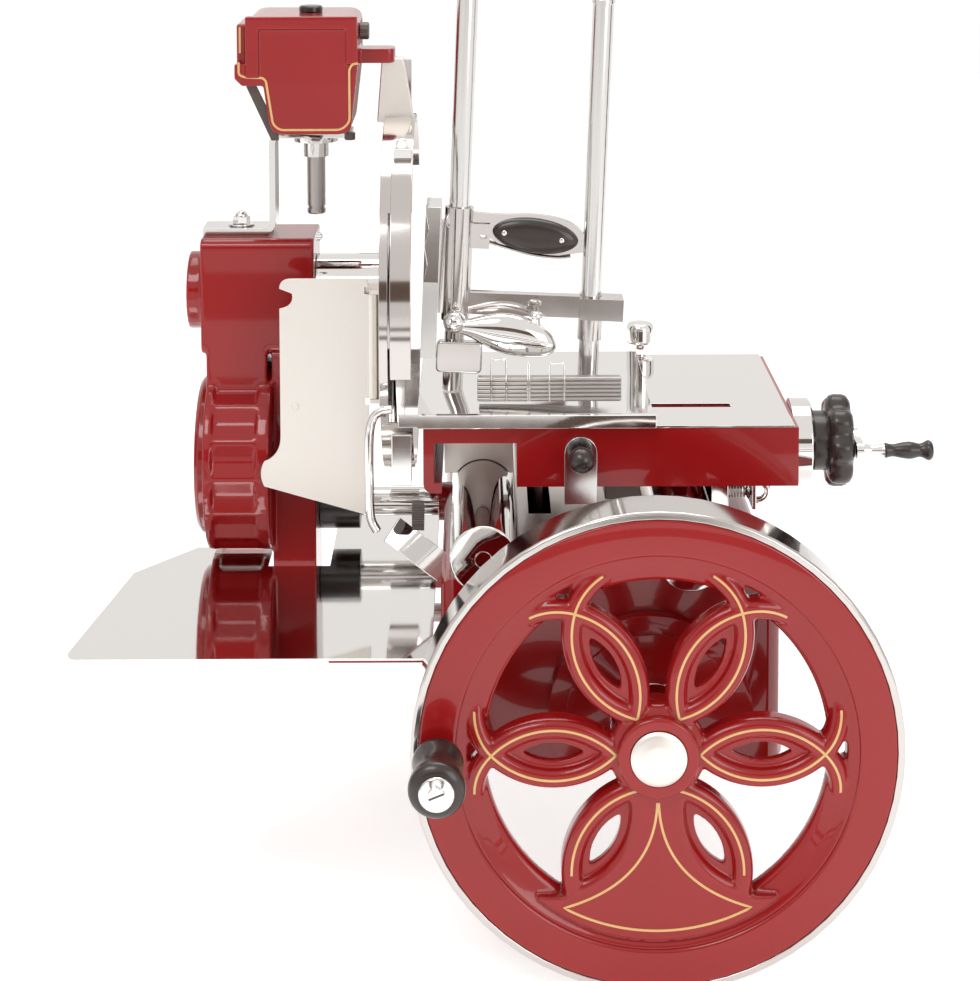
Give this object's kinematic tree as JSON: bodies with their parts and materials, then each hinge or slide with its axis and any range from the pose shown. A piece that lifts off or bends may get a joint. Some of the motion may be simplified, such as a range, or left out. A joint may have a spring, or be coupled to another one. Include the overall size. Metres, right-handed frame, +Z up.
{
  "type": "hand crank meat slicer",
  "caption": "Hand cranked flywheel meat slicer: red cast body on two round rails, pierced flywheel, circular blade, sliding carriage with feed screw, food press and sharpener.",
  "frame": {"origin": "centre of the base underside, on the bottom cover", "axes": "+X to the right seen from the flywheel side, +Y away from the flywheel side, +Z up"},
  "size_m": [0.7849, 0.7195, 0.838],
  "materials": {
    "red_enamel": "gloss enamel with thin gold lines",
    "chrome": "polished",
    "satin_steel": "satin",
    "steel": "machined",
    "black_plastic": "moulded, semi-gloss",
    "dark_iron": "oiled",
    "grinding_stone": "fine grit"
  },
  "bodies": {
    "machine": {"base_casting": "red_enamel", "bottom_cover": "steel", "main_rail": "chrome", "second_rail": "chrome", "shaft_collar": "chrome", "drip_plate": "satin_steel", "bridge_shaft": "chrome", "bridge_sleeve": "black_plastic", "chain_housing": "red_enamel", "drum_cover": "red_enamel", "slice_tray": "chrome", "blade_tube": "chrome", "blade_guard": "chrome", "hinge_strip": "satin_steel", "upper_chain": "dark_iron", "lower_chain": "dark_iron", "sharpener_bracket": "chrome"},
    "blade": {"blade": "chrome", "blade_shaft": "steel", "blade_sprocket": "steel"},
    "deflector": {"deflector_plate": "satin_steel"},
    "lay_shaft": {"lay_shaft": "steel", "lay_wheels": "steel"},
    "cross_shaft": {"cross_shaft": "steel", "bevel_pinion": "steel", "cross_sprocket": "steel"},
    "connecting_rod": {"connecting_rod": "steel"},
    "flywheel": {"flywheel": "red_enamel", "flywheel_rim": "chrome", "hub_cap": "chrome", "flywheel_shaft": "steel", "bevel_gear": "steel", "grip_spindle": "chrome"},
    "crank_grip": {"crank_grip": "black_plastic"},
    "carriage": {"slide_body": "red_enamel", "rail_bearing": "steel", "top_plate": "chrome", "lock_strap": "chrome", "screw_collar": "chrome"},
    "strap_knob": {"strap_knob": "black_plastic"},
    "index_knob": {"index_knob": "black_plastic"},
    "feed_crank": {"feed_screw": "steel", "crank_arm": "chrome"},
    "crank_handle": {"crank_handle": "black_plastic"},
    "table": {"meat_table": "chrome", "fork_bar": "dark_iron", "left_column": "chrome", "right_column": "chrome"},
    "press": {"press_arm": "chrome", "press_plate": "chrome", "clamp_block": "chrome"},
    "press_lever": {"press_lever": "chrome", "lever_grip": "black_plastic"},
    "spoon_handle": {"spoon_handle": "chrome"},
    "sharpener": {"sharpener_box": "red_enamel", "sharpener_pin": "steel"},
    "turn_knob": {"turn_knob": "black_plastic"},
    "stone": {"stone_spindle": "dark_iron", "grinding_stone": "grinding_stone"}
  },
  "joints": [
    {"name": "flywheel_spin", "type": "hinge", "parent": "machine", "child": "flywheel", "pos_m": [0.035, -0.32, 0.045], "axis": [0, 1, 0], "continuous": true},
    {"name": "grip_spin", "type": "hinge", "parent": "flywheel", "child": "crank_grip", "pos_m": [-0.152, -0.387, 0.045], "axis": [0, 1, 0], "continuous": true},
    {"name": "cross_spin", "type": "hinge", "parent": "machine", "child": "cross_shaft", "pos_m": [-0.1, 0, 0.045], "axis": [1, 0, 0], "continuous": true},
    {"name": "rod_swing", "type": "hinge", "parent": "cross_shaft", "child": "connecting_rod", "pos_m": [-0.058, 0, 0.065], "axis": [1, 0, 0], "continuous": true},
    {"name": "lay_spin", "type": "hinge", "parent": "machine", "child": "lay_shaft", "pos_m": [-0.32, 0, 0.208], "axis": [1, 0, 0], "continuous": true},
    {"name": "blade_spin", "type": "hinge", "parent": "machine", "child": "blade", "pos_m": [-0.193, 0, 0.373], "axis": [1, 0, 0], "continuous": true},
    {"name": "deflector_swing", "type": "hinge", "parent": "machine", "child": "deflector", "pos_m": [-0.217, -0.097, 0.339], "axis": [0, 0, 1], "range_deg": [0, 75]},
    {"name": "carriage_slide", "type": "slide", "parent": "machine", "child": "carriage", "axis": [0, 1, 0], "range_m": [-0.09, 0.11]},
    {"name": "strap_knob_turn", "type": "hinge", "parent": "carriage", "child": "strap_knob", "pos_m": [-0.023, -0.18, 0.254], "axis": [0, 1, 0], "range_deg": [0, 180]},
    {"name": "index_knob_turn", "type": "hinge", "parent": "carriage", "child": "index_knob", "pos_m": [0.23, -0.095, 0.246], "axis": [1, 0, 0], "range_deg": [0, 300]},
    {"name": "table_slide", "type": "slide", "parent": "carriage", "child": "table", "axis": [1, 0, 0], "range_m": [0, 0.12]},
    {"name": "feed_crank_turn", "type": "hinge", "parent": "carriage", "child": "feed_crank", "pos_m": [0.24, -0.095, 0.246], "axis": [1, 0, 0], "range_deg": [-4321, 0]},
    {"name": "crank_handle_spin", "type": "hinge", "parent": "feed_crank", "child": "crank_handle", "pos_m": [0.29, -0.13, 0.246], "axis": [1, 0, 0], "continuous": true},
    {"name": "press_slide", "type": "slide", "parent": "table", "child": "press", "axis": [0.0419, 0, 0.9991], "range_m": [-0.018, 0.19]},
    {"name": "press_lever_swing", "type": "hinge", "parent": "press", "child": "press_lever", "pos_m": [-0.11186, -0.055, 0.43686], "axis": [0, 1, 0], "range_deg": [-12, 8]},
    {"name": "spoon_swing", "type": "hinge", "parent": "press", "child": "spoon_handle", "pos_m": [-0.13337, -0.088, 0.35349], "axis": [0, 1, 0], "range_deg": [-60, 0]},
    {"name": "sharpener_lift", "type": "slide", "parent": "machine", "child": "sharpener", "axis": [0, 0, 1], "range_m": [0, 0.05]},
    {"name": "turn_knob_turn", "type": "hinge", "parent": "sharpener", "child": "turn_knob", "pos_m": [-0.28, 0, 0.651], "axis": [0, 0, 1], "range_deg": [0, 90]},
    {"name": "stone_spin", "type": "hinge", "parent": "sharpener", "child": "stone", "pos_m": [-0.245, -0.008, 0.63], "axis": [1, 0, 0], "continuous": true}
  ],
  "couplings": [
    {"joint": "cross_spin", "follows": "flywheel_spin", "ratio": -1.3333},
    {"joint": "rod_swing", "follows": "flywheel_spin", "ratio": 1.3333},
    {"joint": "lay_spin", "follows": "flywheel_spin", "ratio": -1.3333},
    {"joint": "blade_spin", "follows": "flywheel_spin", "ratio": -2},
    {"joint": "feed_crank_turn", "follows": "table_slide", "rad_per_m": -628.32}
  ]
}
